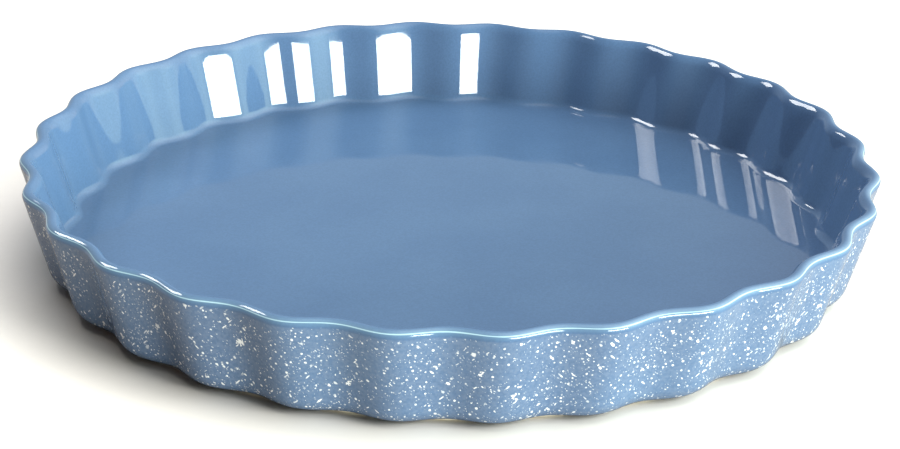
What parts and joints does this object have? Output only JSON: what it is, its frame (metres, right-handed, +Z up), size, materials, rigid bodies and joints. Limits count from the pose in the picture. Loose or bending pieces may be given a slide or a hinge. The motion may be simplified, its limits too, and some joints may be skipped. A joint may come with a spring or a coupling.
{
  "type": "fluted quiche dish",
  "caption": "Round shallow fluted baking dish in glazed stoneware, with a flared wavy wall, rounded rim, flat floor, plain blue lining, white-spattered blue outside and a bare clay foot ring.",
  "frame": {"origin": "centre of the foot ring's underside, where the dish stands", "axes": "+Z up, out of the dish's mouth; +X through the crest of one flute"},
  "size_m": [0.3, 0.3, 0.0372],
  "materials": {
    "bare_clay": "matte",
    "blue_glaze": "gloss",
    "speckled_glaze": "gloss",
    "underside_glaze": "gloss"
  },
  "bodies": {
    "root": {"stoneware_body": "bare_clay", "inside_glaze": "blue_glaze", "outside_glaze": "speckled_glaze", "underside_glaze": "underside_glaze"}
  },
  "joints": []
}
